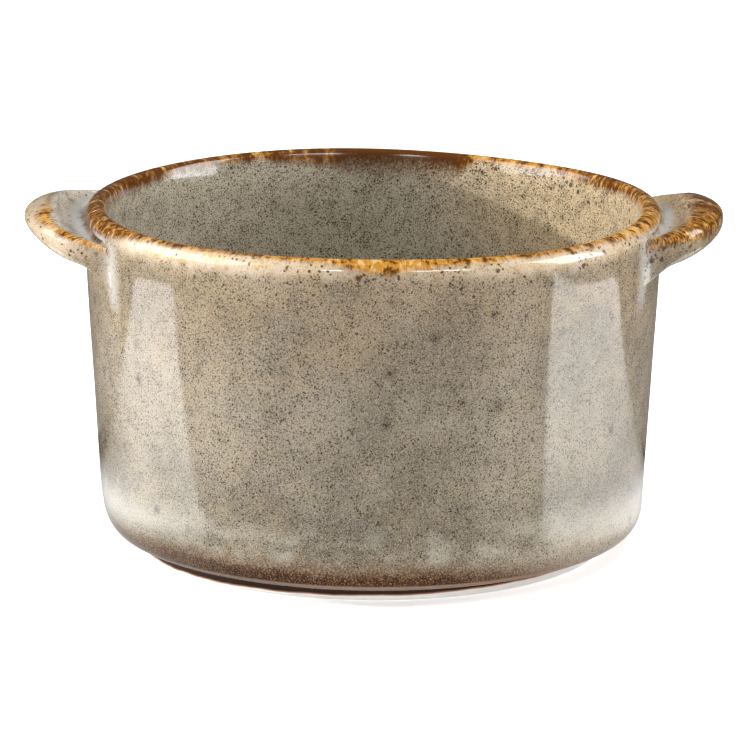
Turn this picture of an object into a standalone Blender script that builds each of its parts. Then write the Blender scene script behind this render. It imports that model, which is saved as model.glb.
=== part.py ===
"""Stoneware ramekin with two lug handles: a turned bowl, a bare clay foot ring and two luted lugs.

Metres, +Z up. The origin is the centre of the foot, on the surface that the ramekin stands on, and the
handles point along +X and -X.
"""
import math

import bmesh
import bpy

# Overall sizes of the bowl
HEIGHT = 0.0603
RIM_RADIUS = 0.0500
WALL_THICKNESS = 0.0035
FLOOR_THICKNESS = 0.0045

# Outer side of the wall, from the rim down to the foot
RIM_OUTER_ROUND = 0.0024
SHOULDER_DROP = 0.0070
SHOULDER_INSET = 0.0001
WALL_TAPER = 0.0027
KNEE_HEIGHT = 0.0076
BASE_RADIUS = 0.0408

# Inner side of the bowl
INNER_BEND = 0.0090
LIP_LEAN = 18.0
LIP_LENGTH = 0.0024

# Foot ring
FOOT_HEIGHT = 0.0023
FOOT_INSET = 0.0005
FOOT_WIDTH = 0.0050
FOOT_ROUND = 0.0005

# Lug handles
HANDLE_REACH = 0.0105
HANDLE_WIDTH = 0.0510
CREST_RISE = 0.0003
CREST_FALL = 0.0041
DISH_DEPTH = 0.0026
GROOVE_ROUND = 0.0009
BEAD_ROUND = 0.0015
SIDE_HEIGHT = 0.0042
SIDE_GROWTH = 0.0010
EDGE_ROUND = 0.0010
ROOT_FILLET = 0.0040
TOE_FILLET = 0.0014
TOE_THICKNESS = 0.0003
TOE_LENGTH = 0.0012
END_ROUND = 0.0020

# Clearance between a luted piece and the bowl
JOINT_GAP = 0.0003

# Largest shares of a lug's thickness that its rounded edges and its groove take, near its thin ends
EDGE_SHARE = 0.4
GROOVE_SHARE = 0.3

# Facets
TURN_STEPS = 72
ARC_STEPS = 6
FOOT_ARC_STEPS = 3
BEND_STEPS = 9
GROOVE_STEPS = 3
DISH_STEPS = 6
SEAT_STEPS = 4
HANDLE_STEPS = 28
SHARP_ANGLE = math.radians(40)
MERGE_DISTANCE = 0.00001

SHOULDER_HEIGHT = HEIGHT - SHOULDER_DROP
SHOULDER_RADIUS = RIM_RADIUS - SHOULDER_INSET
KNEE_RADIUS = SHOULDER_RADIUS - WALL_TAPER
FLOOR_HEIGHT = FOOT_HEIGHT + FLOOR_THICKNESS
RIM_INNER_ROUND = WALL_THICKNESS - RIM_OUTER_ROUND


def mix(start, end, share):
    """Point on the straight line from start to end."""
    return tuple(a + (b - a) * share for a, b in zip(start, end))


def arc(centre, radius, start, end, steps):
    """Points of an arc in the plane, with its angles in degrees."""
    points = []
    for step in range(steps + 1):
        angle = math.radians(start + (end - start) * step / steps)
        points.append((centre[0] + radius * math.cos(angle), centre[1] + radius * math.sin(angle)))
    return points


def bend(start, corner, end, steps):
    """Points of a smooth bend that leaves start towards corner and arrives at end from corner."""
    points = []
    for step in range(steps + 1):
        share = step / steps
        points.append(mix(mix(start, corner, share), mix(corner, end, share), share))
    return points


def wall_radius(height):
    """Radius of the bowl's outer side at a height between the knee and the rim."""
    lip = HEIGHT - RIM_OUTER_ROUND
    if height > lip:
        rise = min(height - lip, RIM_OUTER_ROUND)
        return RIM_RADIUS - RIM_OUTER_ROUND + math.sqrt(RIM_OUTER_ROUND ** 2 - rise ** 2)
    if height > SHOULDER_HEIGHT:
        share = (lip - height) / (lip - SHOULDER_HEIGHT)
        return RIM_RADIUS + (SHOULDER_RADIUS - RIM_RADIUS) * share
    share = (SHOULDER_HEIGHT - height) / (SHOULDER_HEIGHT - KNEE_HEIGHT)
    return SHOULDER_RADIUS + (KNEE_RADIUS - SHOULDER_RADIUS) * share


def bowl_profile():
    """Half section of the bowl, from the middle of its floor over the rim to the middle of its underside."""
    inner_knee = KNEE_RADIUS - WALL_THICKNESS
    crest = HEIGHT - RIM_INNER_ROUND
    lip = HEIGHT - RIM_OUTER_ROUND
    crest_radius = RIM_RADIUS - RIM_OUTER_ROUND
    inner_lip = arc((crest_radius, crest), RIM_INNER_ROUND, 180 - LIP_LEAN, 90, ARC_STEPS)
    lean = math.radians(LIP_LEAN)
    lip_start = (inner_lip[0][0] - LIP_LENGTH * math.sin(lean), inner_lip[0][1] - LIP_LENGTH * math.cos(lean))
    bend_height = FLOOR_HEIGHT + INNER_BEND
    slope = (lip_start[0] - inner_knee) / (lip_start[1] - KNEE_HEIGHT)
    bend_radius = inner_knee + slope * (bend_height - KNEE_HEIGHT)
    corner_radius = bend_radius - slope * INNER_BEND
    knee_slope = WALL_TAPER / (SHOULDER_HEIGHT - KNEE_HEIGHT)
    knee_corner = (KNEE_RADIUS - knee_slope * (KNEE_HEIGHT - FOOT_HEIGHT), FOOT_HEIGHT)

    points = [(0.0, FLOOR_HEIGHT)]
    points += bend(
        (corner_radius - INNER_BEND, FLOOR_HEIGHT),
        (corner_radius, FLOOR_HEIGHT),
        (bend_radius, bend_height),
        BEND_STEPS,
    )
    points.append(lip_start)
    points += inner_lip
    points += arc((crest_radius, lip), RIM_OUTER_ROUND, 90, 0, ARC_STEPS)[1:]
    points.append((SHOULDER_RADIUS, SHOULDER_HEIGHT))
    points += bend((KNEE_RADIUS, KNEE_HEIGHT), knee_corner, (BASE_RADIUS, FOOT_HEIGHT), BEND_STEPS)
    points.append((0.0, FOOT_HEIGHT))
    return points


def foot_profile():
    """Closed section of the foot ring, with both edges that meet the table rounded."""
    outer = BASE_RADIUS - FOOT_INSET
    inner = outer - FOOT_WIDTH
    top = FOOT_HEIGHT - JOINT_GAP
    points = [(inner, top), (outer, top)]
    points += arc((outer - FOOT_ROUND, FOOT_ROUND), FOOT_ROUND, 0, -90, FOOT_ARC_STEPS)
    points += arc((inner + FOOT_ROUND, FOOT_ROUND), FOOT_ROUND, -90, -180, FOOT_ARC_STEPS)
    return points


def end_drop(beyond):
    """How far a lug's top comes down, and its root comes up, this near to the lug's round end."""
    inside = END_ROUND - beyond
    if inside <= 0:
        return 0.0
    return END_ROUND - math.sqrt(END_ROUND ** 2 - inside ** 2)


def handle_section(offset):
    """Closed section of a lug, this far along the wall from its middle: (distance from the wall, height)."""
    arch = math.cos(math.pi * offset / HANDLE_WIDTH)
    lift = max(arch, 0.0)
    drop = end_drop(HANDLE_WIDTH / 2 + TOE_LENGTH - abs(offset))
    seat = JOINT_GAP + TOE_THICKNESS
    full = (HANDLE_REACH - seat) * arch
    body = (full + math.sqrt(full ** 2 + TOE_FILLET ** 2)) / 2
    reach = seat + body
    bead = min(BEAD_ROUND, body * EDGE_SHARE)
    edge = min(EDGE_ROUND, body * EDGE_SHARE)
    groove_round = min(GROOVE_ROUND, body * GROOVE_SHARE)
    crest = HEIGHT + CREST_RISE - CREST_FALL * (1 - lift) - drop
    groove = crest - DISH_DEPTH * lift
    side_foot = crest - SIDE_HEIGHT - SIDE_GROWTH * (1 - lift) + 2 * drop
    root = side_foot - ROOT_FILLET * body / math.hypot(ROOT_FILLET, body)

    points = []
    for step in range(SEAT_STEPS + 1):
        points.append(mix((JOINT_GAP, root), (JOINT_GAP, groove + groove_round), step / SEAT_STEPS))
    points += arc((seat + groove_round, groove + groove_round), groove_round, 180, 270, GROOVE_STEPS)
    dish_start = (seat + groove_round, groove)
    dish_end = (reach - bead, crest)
    for step in range(1, DISH_STEPS):
        along = step / DISH_STEPS
        ease = (1 - math.cos(math.pi * along)) / 2
        points.append((mix(dish_start, dish_end, along)[0], mix(dish_start, dish_end, ease)[1]))
    points += arc((reach - bead, crest - bead), bead, 90, 0, ARC_STEPS)
    points += arc((reach - edge, side_foot + edge), edge, 0, -90, ARC_STEPS)
    points += bend((reach - edge, side_foot), (seat, side_foot), (seat, root), BEND_STEPS)[1:]
    return points


def finish(name, colour, roughness):
    """Plain material for one piece, glaze or bare clay."""
    material = bpy.data.materials.new(name)
    material.use_nodes = True
    shader = material.node_tree.nodes["Principled BSDF"]
    shader.inputs["Base Color"].default_value = (*colour, 1.0)
    shader.inputs["Roughness"].default_value = roughness
    shader.inputs["Metallic"].default_value = 0.0
    material.diffuse_color = (*colour, 1.0)
    return material


def add_piece(name, mesh, collection, material):
    """Puts a finished mesh into the ramekin's collection as a named piece."""
    mesh.materials.append(material)
    piece = bpy.data.objects.new(name, mesh)
    collection.objects.link(piece)
    return piece


def turned_piece(name, profile, closed, collection, material):
    """Piece made by turning a section about the Z axis."""
    mesh = bpy.data.meshes.new(name)
    count = len(profile)
    edges = [(index, index + 1) for index in range(count - 1)]
    if closed:
        edges.append((count - 1, 0))
    mesh.from_pydata([(radius, 0.0, height) for radius, height in profile], edges, [])
    piece = add_piece(name, mesh, collection, material)
    screw = piece.modifiers.new("turn", "SCREW")
    screw.axis = "Z"
    screw.angle = 2 * math.pi
    screw.steps = TURN_STEPS
    screw.render_steps = TURN_STEPS
    screw.use_merge_vertices = True
    screw.merge_threshold = MERGE_DISTANCE
    screw.use_smooth_shade = True
    return piece


def handle_piece(name, heading, collection, material):
    """Lug lofted through sections that follow the wall, turned to its heading about the Z axis."""
    lug = bmesh.new()
    half_length = HANDLE_WIDTH / 2 + TOE_LENGTH
    rings = []
    for step in range(HANDLE_STEPS + 1):
        offset = half_length * math.sin(math.pi * (step / HANDLE_STEPS - 0.5))
        angle = offset / RIM_RADIUS
        ring = []
        for distance, height in handle_section(offset):
            radius = wall_radius(height) + distance
            ring.append(lug.verts.new((radius * math.cos(angle), radius * math.sin(angle), height)))
        rings.append(ring)
    for near, far in zip(rings, rings[1:]):
        for index in range(len(near)):
            after = (index + 1) % len(near)
            lug.faces.new((near[index], far[index], far[after], near[after]))
    lug.faces.new(rings[0])
    lug.faces.new(reversed(rings[-1]))
    bmesh.ops.recalc_face_normals(lug, faces=lug.faces)
    mesh = bpy.data.meshes.new(name)
    lug.to_mesh(mesh)
    lug.free()
    mesh.shade_smooth()
    mesh.set_sharp_from_angle(angle=SHARP_ANGLE)
    piece = add_piece(name, mesh, collection, material)
    piece.rotation_euler.z = heading
    return piece


def main():
    for leftover in list(bpy.data.objects):
        bpy.data.objects.remove(leftover, do_unlink=True)
    ramekin = bpy.data.collections.new("ramekin")
    bpy.context.scene.collection.children.link(ramekin)

    turned_piece("bowl", bowl_profile(), False, ramekin, finish("greige_glaze", (0.34, 0.30, 0.24), 0.12))
    turned_piece("foot_ring", foot_profile(), True, ramekin, finish("bare_clay", (0.80, 0.76, 0.70), 0.75))
    handle_piece("right_handle", 0.0, ramekin, finish("right_lug_glaze", (0.33, 0.24, 0.15), 0.14))
    handle_piece("left_handle", math.pi, ramekin, finish("left_lug_glaze", (0.38, 0.30, 0.21), 0.14))


main()
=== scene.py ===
"""Looks of a stoneware ramekin: a bowl under speckled reactive glaze, two dished lugs and a bare clay foot.

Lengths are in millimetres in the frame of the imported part, and become metres where a mesh, a light or the
camera is made. Azimuth is counter-clockwise from +X, so the front is at -90 degrees.
"""

import math
from collections import namedtuple

import bpy
import numpy as np
from mathutils import Matrix, Vector, noise


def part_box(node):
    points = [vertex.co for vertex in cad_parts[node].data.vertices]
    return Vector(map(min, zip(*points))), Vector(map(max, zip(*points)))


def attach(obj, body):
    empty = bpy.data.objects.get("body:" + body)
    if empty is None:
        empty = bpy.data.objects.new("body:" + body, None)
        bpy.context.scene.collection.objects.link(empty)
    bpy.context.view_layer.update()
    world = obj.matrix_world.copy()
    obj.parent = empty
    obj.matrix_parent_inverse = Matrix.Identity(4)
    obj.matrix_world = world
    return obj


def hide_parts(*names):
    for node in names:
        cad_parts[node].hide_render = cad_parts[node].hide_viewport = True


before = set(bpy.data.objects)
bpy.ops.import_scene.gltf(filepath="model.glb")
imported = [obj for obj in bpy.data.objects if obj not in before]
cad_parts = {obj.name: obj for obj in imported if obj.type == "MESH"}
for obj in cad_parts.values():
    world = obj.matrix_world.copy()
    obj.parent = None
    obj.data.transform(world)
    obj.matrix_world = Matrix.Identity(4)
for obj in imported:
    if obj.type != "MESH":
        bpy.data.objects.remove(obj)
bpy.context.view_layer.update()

MM = 0.001

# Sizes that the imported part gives
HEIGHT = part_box("bowl")[1].z / MM
RIM_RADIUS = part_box("bowl")[1].y / MM
BASE_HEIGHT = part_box("bowl")[0].z / MM
FOOT_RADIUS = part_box("foot_ring")[1].x / MM
LUG_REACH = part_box("right_handle")[1].x / MM - RIM_RADIUS

# Section of the bowl
WALL_THICKNESS = 3.5
FLOOR_THICKNESS = 4.5
RIM_OUTER_ROUND = 2.4
RIM_INNER_ROUND = WALL_THICKNESS - RIM_OUTER_ROUND
LIP_LEAN = 18.0
LIP_LENGTH = 2.4
LIP_HEIGHT = 6.0
SHOULDER_HEIGHT = HEIGHT - 7.0
SHOULDER_RADIUS = RIM_RADIUS - 0.1
KNEE_HEIGHT = 7.6
KNEE_RADIUS = SHOULDER_RADIUS - 2.7
BASE_RADIUS = FOOT_RADIUS + 0.5
INNER_BEND = 9.0
FLOOR_HEIGHT = BASE_HEIGHT + FLOOR_THICKNESS

# Foot ring
FOOT_WIDTH = 5.0
FOOT_ROUND = 0.5

# Section of a lug
CREST_SPREAD = 1.16
DISH_DEPTH = 2.6
GROOVE_ROUND = 0.9
BEAD_ROUND = 2.0
SIDE_GROWTH = 1.0
EDGE_ROUND = 1.5
ROOT_FILLET = 3.7
ROOT_TAPER = 5.0
ROOT_LEAST = 0.4
TOE_BLEND = 3.0
TOE_TAIL = 1.0
TOE_FLARE = 1.6
TOE_SINK = 0.04
EDGE_SHARE = 0.4
GROOVE_SHARE = 0.3
SEAT_DEPTH = 0.6
DIVE = 0.05
DIVE_LENGTH = 0.6

# Unevenness of the thrown and hand-pressed clay
RimWave = namedtuple("RimWave", "count height phase")
RIM_WAVES = (
    RimWave(1, 0.17, math.radians(157)),
    RimWave(2, 0.09, math.radians(-73)),
    RimWave(3, 0.20, math.radians(25)),
    RimWave(4, 0.16, math.radians(7)),
)
WALL_WAVE = 0.07
WALL_WAVE_LENGTH = 17.0
KNEE_DENT = 0.8
DENT_AZIMUTH = 215.0
DENT_WIDTH = 40.0
DENT_HEIGHT = 5.5
DENT_SPREAD = 4.0
LUG_WAVE = 0.16
LUG_WAVE_LENGTH = 6.0

# Facets
TURN_STEPS = 384
LUG_STEPS = 150
ARC_STEPS = 14
BEND_STEPS = 26
DISH_STEPS = 26
WALL_STEP = 1.0
SIDE_STEPS = 6
TOE_STEP = 0.1

# Lugs: the shape of each one and the colour of its dish
Lug = namedtuple(
    "Lug", "node heading reach width fullness crest_rise front_fall back_fall side_height marks dish seed"
)
# Glaze on a lug: how far it is broken inside and outside the bead's crest, how softly that ends inside,
# where along the lug it is broken, how brown it is in the middle and in front, and what lies beside it
Marks = namedtuple("Marks", "inside outside softness middle spread burn front_burn cream rim_run dots")
LUGS = (
    Lug(
        node="left_handle", heading=math.pi, reach=LUG_REACH - 0.2, width=36.0, fullness=0.35,
        crest_rise=0.3, front_fall=4.1, back_fall=2.4, side_height=3.8,
        marks=Marks(
            inside=0.2, outside=1.7, softness=1.0, middle=11.5, spread=11.0, burn=0.52, front_burn=0.46,
            cream=0.55, rim_run=0.9, dots=0.3,
        ),
        dish=(208, 197, 180), seed=3.7,
    ),
    Lug(
        node="right_handle", heading=-0.02, reach=LUG_REACH + 0.1, width=35.0, fullness=0.42,
        crest_rise=0.5, front_fall=3.4, back_fall=4.3, side_height=5.0,
        marks=Marks(
            inside=1.7, outside=4.6, softness=0.4, middle=2.0, spread=18.0, burn=0.68, front_burn=0.62,
            cream=0.2, rim_run=0.5, dots=1.5,
        ),
        dish=(142, 124, 102), seed=9.1,
    ),
)

# Broken glaze round the rim: how far it reaches inside and outside the crest, how brown it is, how pale and
# beige the glaze is beside it, which is partly a painted highlight, and how many brown dots lie near it
RimZone = namedtuple("RimZone", "azimuth inside outside burn cream dots")
RIM_ZONES = (
    RimZone(0, 2.2, 3.4, 0.61, 0.3, 0.3),
    RimZone(28, 2.6, 2.6, 0.66, 0.2, 0.6),
    RimZone(48, 1.4, 1.6, 0.52, 0.6, 1.0),
    RimZone(63, 1.3, 1.4, 0.50, 0.5, 1.0),
    RimZone(71, 5.0, 1.4, 0.84, 0.0, 0.5),
    RimZone(90, 5.8, 1.4, 0.86, 0.0, 0.2),
    RimZone(101, 3.4, 1.4, 0.70, 0.0, 0.1),
    RimZone(116, 2.0, 1.4, 0.64, 0.1, 0.3),
    RimZone(134, 2.2, 1.8, 0.66, 0.0, 0.0),
    RimZone(155, 3.0, 3.2, 0.72, 0.0, 0.0),
    RimZone(182, 3.2, 4.8, 0.68, 0.0, 0.0),
    RimZone(200, 2.2, 3.4, 0.66, 0.2, 0.0),
    RimZone(216, 1.2, 1.4, 0.58, 1.0, 0.1),
    RimZone(240, 1.0, 1.0, 0.56, 1.0, 0.3),
    RimZone(256, 1.0, 1.4, 0.44, 0.8, 1.0),
    RimZone(270, 1.2, 3.4, 0.48, 0.3, 0.6),
    RimZone(284, 1.2, 1.9, 0.48, 0.7, 0.9),
    RimZone(300, 1.0, 1.3, 0.54, 0.9, 1.0),
    RimZone(318, 1.1, 1.4, 0.56, 0.9, 0.8),
    RimZone(338, 1.8, 2.6, 0.48, 0.6, 0.4),
)

# Pools in the lugs' grooves, which end sooner up the wall, and at the lugs' ends
POOL_CORE = 1.2
POOL_EDGE = 3.0
GROOVE_SIDE = 3.0
TOE_POOL = 0.75
TOE_REACH = 3.4

# Broken glaze, and pale beige glaze beside it that is partly a painted highlight, on the rim and the lugs
MARK_FRAY = 0.2
RIM_BURN = 0.68
FRONT_START = 3.0
FRONT_LENGTH = 9.0
SHARP_INSIDE = 2.4
FLOW_SQUEEZE = 0.16
HIGHLIT_CREAM_TAPER = 5.0

# Point of a mesh and the state of the glaze there
Spot = namedtuple(
    "Spot", "place crest thin pool cream burn dots flow", defaults=(0.0,) * 6 + ((0.0, 0.0, 0.0),)
)


def mix(start, end, share):
    """Point on the straight line from start to end."""
    return tuple(a + (b - a) * share for a, b in zip(start, end))


def smooth(value):
    """Eased step from 0 to 1."""
    value = min(max(value, 0.0), 1.0)
    return value * value * (3 - 2 * value)


def line(start, end, steps):
    """Points along a straight line, without its first point."""
    return [mix(start, end, (step + 1) / steps) for step in range(steps)]


def arc(centre, radius, start, end, steps):
    """Points of an arc, with its angles in degrees."""
    points = []
    for step in range(steps + 1):
        angle = math.radians(start + (end - start) * step / steps)
        points.append((centre[0] + radius * math.cos(angle), centre[1] + radius * math.sin(angle)))
    return points


def bend(start, corner, end, steps):
    """Points of a smooth bend that leaves start towards corner and arrives at end from corner."""
    points = []
    for step in range(steps + 1):
        share = step / steps
        points.append(mix(mix(start, corner, share), mix(corner, end, share), share))
    return points


def lengths_along(points):
    """Distance of each point from the first one, along the line through them."""
    total = [0.0]
    for before, after in zip(points, points[1:]):
        total.append(total[-1] + math.dist(before, after))
    return total


def settle(azimuth, radius, height):
    """Where a point of the ideal turned form lies on the slightly uneven pot, in metres."""
    around = Vector((math.cos(azimuth), math.sin(azimuth), 0.0)) * RIM_RADIUS
    share = smooth(height / HEIGHT)
    lift = sum(wave.height * math.cos(wave.count * azimuth - wave.phase) for wave in RIM_WAVES)
    spot = around + Vector((0.0, 0.0, height))
    from_axis = min(1.0, radius / FOOT_RADIUS)
    swell = WALL_WAVE * noise.noise(spot / WALL_WAVE_LENGTH) * from_axis
    apart = math.remainder(math.degrees(azimuth) - DENT_AZIMUTH, 360)
    dent = KNEE_DENT * math.exp(-(apart / DENT_WIDTH) ** 2 - ((height - DENT_HEIGHT) / DENT_SPREAD) ** 2)
    flat = (radius + swell - dent * from_axis) * MM
    return Vector((flat * math.cos(azimuth), flat * math.sin(azimuth), (height + lift * share) * MM))


def wall_radius(height):
    """Radius of the bowl's outer side at a height between the knee and the rim."""
    lip = HEIGHT - RIM_OUTER_ROUND
    if height > lip:
        rise = min(height - lip, RIM_OUTER_ROUND)
        return RIM_RADIUS - RIM_OUTER_ROUND + math.sqrt(RIM_OUTER_ROUND ** 2 - rise ** 2)
    if height > SHOULDER_HEIGHT:
        share = (lip - height) / (lip - SHOULDER_HEIGHT)
        return RIM_RADIUS + (SHOULDER_RADIUS - RIM_RADIUS) * share
    share = (SHOULDER_HEIGHT - height) / (SHOULDER_HEIGHT - KNEE_HEIGHT)
    return SHOULDER_RADIUS + (KNEE_RADIUS - SHOULDER_RADIUS) * share


def lug_plan(offset, lug):
    """How far a lug stands out from the wall before its end is blended in; less than 0 past the end."""
    last = lug.width / 2 - TOE_TAIL
    inside = min(abs(offset), last)
    arch = math.cos(math.pi * inside / lug.width)
    steepness = lug.fullness * arch ** (lug.fullness - 1) * math.sin(math.pi * last / lug.width)
    slope = lug.reach * steepness * math.pi / lug.width
    return lug.reach * arch ** lug.fullness - slope * (abs(offset) - inside)


def front_of(offset, lug):
    """Distance along the wall from a lug's middle, towards the front."""
    return -offset * math.cos(lug.heading)


def lug_section(offset, lug):
    """Section of a lug, this far along the wall from its middle.

    Gives the points (distance from the wall, height), the index of the bead's crest, and the index of the
    point where the groove meets the wall.
    """
    wave = LUG_WAVE * noise.noise(Vector((offset / LUG_WAVE_LENGTH, lug.seed, 0.0)))
    full = lug_plan(offset, lug)
    body = max(full, 0.0)
    if abs(full) < TOE_BLEND:
        body = (full + TOE_BLEND) ** 2 / (4 * TOE_BLEND)
    lift = smooth(body / lug.reach)
    bow = math.cos(math.pi * offset / (lug.width * CREST_SPREAD))
    fall = lug.front_fall if front_of(offset, lug) > 0 else lug.back_fall
    body += wave * lift
    sunk = TOE_SINK * (1 - smooth(body))
    bead = min(BEAD_ROUND, body * EDGE_SHARE)
    edge = min(EDGE_ROUND, body * EDGE_SHARE)
    groove_round = min(GROOVE_ROUND, body * GROOVE_SHARE)
    crest = HEIGHT + lug.crest_rise - fall * (1 - bow) + wave * lift
    groove = crest - DISH_DEPTH * min(body / lug.reach, 1.0)
    rooted = smooth(body / ROOT_TAPER)
    side_foot = crest - lug.side_height - SIDE_GROWTH * (1 - bow) - TOE_FLARE * (1 - rooted)
    root = side_foot - ROOT_FILLET * (ROOT_LEAST + (1 - ROOT_LEAST) * rooted)

    points = [(-SEAT_DEPTH, root), (-SEAT_DEPTH, groove), (-DIVE, groove + groove_round + DIVE_LENGTH)]
    top_seam = len(points)
    points += arc((groove_round, groove + groove_round), groove_round, 180, 270, ARC_STEPS)
    dish_start = points[-1]
    dish_end = (body - bead, crest)
    for step in range(1, DISH_STEPS):
        along = step / DISH_STEPS
        ease = (1 - math.cos(math.pi * along)) / 2
        points.append((mix(dish_start, dish_end, along)[0], mix(dish_start, dish_end, ease)[1]))
    bead_top = len(points)
    points += arc((body - bead, crest - bead), bead, 90, 0, ARC_STEPS)
    points += line(points[-1], (body, side_foot + edge), SIDE_STEPS)[:-1]
    points += arc((body - edge, side_foot + edge), edge, 0, -90, ARC_STEPS)
    points += bend((body - edge, side_foot), (0.0, side_foot), (0.0, root), BEND_STEPS)[1:]
    points.append((-DIVE, root - DIVE_LENGTH))
    return [(distance - sunk, height) for distance, height in points], bead_top, top_seam


def lug_offsets(lug):
    """Places of a lug's sections along the wall, closer together near its thin ends."""
    half_length = lug.width / 2
    while lug_plan(half_length, lug) > -TOE_BLEND:
        half_length += TOE_STEP
    return [half_length * math.sin(math.pi * (step / LUG_STEPS - 0.5)) for step in range(LUG_STEPS + 1)]


def pooled(distance):
    """How much glaze has pooled, this far from the bottom of a valley."""
    share = np.clip((POOL_EDGE - distance) / (POOL_EDGE - POOL_CORE), 0.0, 1.0)
    return share * share * (3 - 2 * share)


def lug_grooves():
    """Azimuths and heights at which the lugs' grooves meet the wall, and how full the lugs are there."""
    seams = []
    for lug in LUGS:
        for offset in lug_offsets(lug):
            points, _, top_seam = lug_section(offset, lug)
            fullness = smooth(lug_plan(offset, lug) / ROOT_TAPER)
            seams.append((lug.heading + offset / RIM_RADIUS, points[top_seam][1], fullness))
    return np.array(seams)


def rim_zone(azimuth):
    """State of the rim's glaze at an azimuth, eased between the zones on either side of it."""
    angle = math.degrees(azimuth) % 360
    zones = RIM_ZONES + (RIM_ZONES[0]._replace(azimuth=RIM_ZONES[0].azimuth + 360),)
    for before, after in zip(zones, zones[1:]):
        if before.azimuth <= angle <= after.azimuth:
            share = (angle - before.azimuth) / (after.azimuth - before.azimuth)
            return RimZone(*mix(before, after, smooth(share)))


def lug_break(lug, offset, crest, from_groove):
    """How far a point of a lug lies inside the broken glaze, and how brown the glaze is there."""
    marks = lug.marks
    front = front_of(offset, lug)
    share = math.exp(-((front - marks.middle) / marks.spread) ** 4)
    inner = (marks.inside * share + crest) * marks.softness
    on_bead = min(inner, marks.outside * share - crest) - MARK_FRAY
    on_groove = marks.rim_run * smooth(lug_plan(offset, lug) / ROOT_TAPER) - from_groove
    if on_groove > on_bead:
        return on_groove, RIM_BURN
    forward = smooth((front - FRONT_START) / FRONT_LENGTH)
    return on_bead, marks.burn + (marks.front_burn - marks.burn) * forward


def add_object(name, data):
    """New object in the scene, made of a mesh, a light or a camera."""
    made = bpy.data.objects.new(name, data)
    bpy.context.scene.collection.objects.link(made)
    return made


def mark(mesh, spots):
    """Keeps the glaze's state at each point of a mesh."""
    for key in ("crest", "thin", "pool", "cream", "burn", "dots"):
        values = mesh.attributes.new(key, "FLOAT", "POINT")
        values.data.foreach_set("value", [getattr(spot, key) for spot in spots])
    flow = mesh.attributes.new("flow", "FLOAT_VECTOR", "POINT")
    flow.data.foreach_set("vector", [part for spot in spots for part in spot.flow])


def skin(name, rings, ends):
    """Piece whose quads run through rings of spots; ends are "poles", "caps" or "joined"."""
    count = len(rings[0])
    spots = [spot for ring in rings for spot in ring]
    faces = []
    pairs = list(range(len(rings) - 1)) + ([len(rings) - 1] if ends == "joined" else [])
    for ring in pairs:
        after_ring = (ring + 1) % len(rings)
        for index in range(count):
            after = (index + 1) % count
            near, far = ring * count, after_ring * count
            faces.append((near + index, near + after, far + after, far + index))
    last = (len(rings) - 1) * count
    if ends == "caps":
        faces.append(tuple(reversed(range(count))))
        faces.append(tuple(range(last, last + count)))
    if ends == "poles":
        for start, turned in ((0, True), (last, False)):
            ring = spots[start:start + count]
            middle = sum((spot.place for spot in ring), Vector()) / count
            pole = len(spots)
            spots.append(ring[0]._replace(place=Vector((0.0, 0.0, middle.z))))
            for index in range(count):
                pair = (start + index, start + (index + 1) % count)
                faces.append((pole, *(reversed(pair) if turned else pair)))
    mesh = bpy.data.meshes.new(name)
    mesh.from_pydata([spot.place for spot in spots], [], faces)
    mesh.shade_smooth()
    mark(mesh, spots)
    return add_object(name, mesh)


def bowl_profile():
    """Half section of the bowl from its floor over the rim to its underside, and the index of the crest."""
    inner_knee = KNEE_RADIUS - WALL_THICKNESS
    crest = HEIGHT - RIM_INNER_ROUND
    lip = HEIGHT - RIM_OUTER_ROUND
    crest_radius = RIM_RADIUS - RIM_OUTER_ROUND
    inner_lip = arc((crest_radius, crest), RIM_INNER_ROUND, 180 - LIP_LEAN, 90, ARC_STEPS)
    lean = math.radians(LIP_LEAN)
    lip_corner = (
        inner_lip[0][0] - LIP_LENGTH * math.sin(lean),
        inner_lip[0][1] - LIP_LENGTH * math.cos(lean),
    )
    slope = (lip_corner[0] - inner_knee) / (lip_corner[1] - KNEE_HEIGHT)
    lip_start = (lip_corner[0] - slope * (lip_corner[1] - HEIGHT + LIP_HEIGHT), HEIGHT - LIP_HEIGHT)
    bend_height = FLOOR_HEIGHT + INNER_BEND
    bend_radius = inner_knee + slope * (bend_height - KNEE_HEIGHT)
    corner_radius = bend_radius - slope * INNER_BEND
    floor_edge = corner_radius - INNER_BEND
    knee_slope = (SHOULDER_RADIUS - KNEE_RADIUS) / (SHOULDER_HEIGHT - KNEE_HEIGHT)
    knee_corner = (KNEE_RADIUS - knee_slope * (KNEE_HEIGHT - BASE_HEIGHT), BASE_HEIGHT)

    points = line((0.0, FLOOR_HEIGHT), (floor_edge, FLOOR_HEIGHT), round(floor_edge / WALL_STEP))
    points += bend(points[-1], (corner_radius, FLOOR_HEIGHT), (bend_radius, bend_height), BEND_STEPS)[1:]
    points += line(points[-1], lip_start, round((lip_start[1] - bend_height) / WALL_STEP))
    points += bend(lip_start, lip_corner, inner_lip[0], ARC_STEPS)[1:]
    points += inner_lip[1:]
    crest_index = len(points) - 1
    points += arc((crest_radius, lip), RIM_OUTER_ROUND, 90, 0, ARC_STEPS)[1:]
    shoulder_steps = round((lip - SHOULDER_HEIGHT) / WALL_STEP)
    points += line(points[-1], (SHOULDER_RADIUS, SHOULDER_HEIGHT), shoulder_steps)
    wall_steps = round((SHOULDER_HEIGHT - KNEE_HEIGHT) / WALL_STEP)
    points += line(points[-1], (KNEE_RADIUS, KNEE_HEIGHT), wall_steps)
    points += bend(points[-1], knee_corner, (BASE_RADIUS, BASE_HEIGHT), BEND_STEPS)[1:]
    points += line(points[-1], (0.0, BASE_HEIGHT), round(BASE_RADIUS / WALL_STEP))[:-1]
    return points, crest_index


def toe_pool(distance):
    """How much glaze has pooled on the wall or a lug, this far from the lug's end."""
    return TOE_POOL * (1 - smooth(distance / TOE_REACH))


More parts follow.
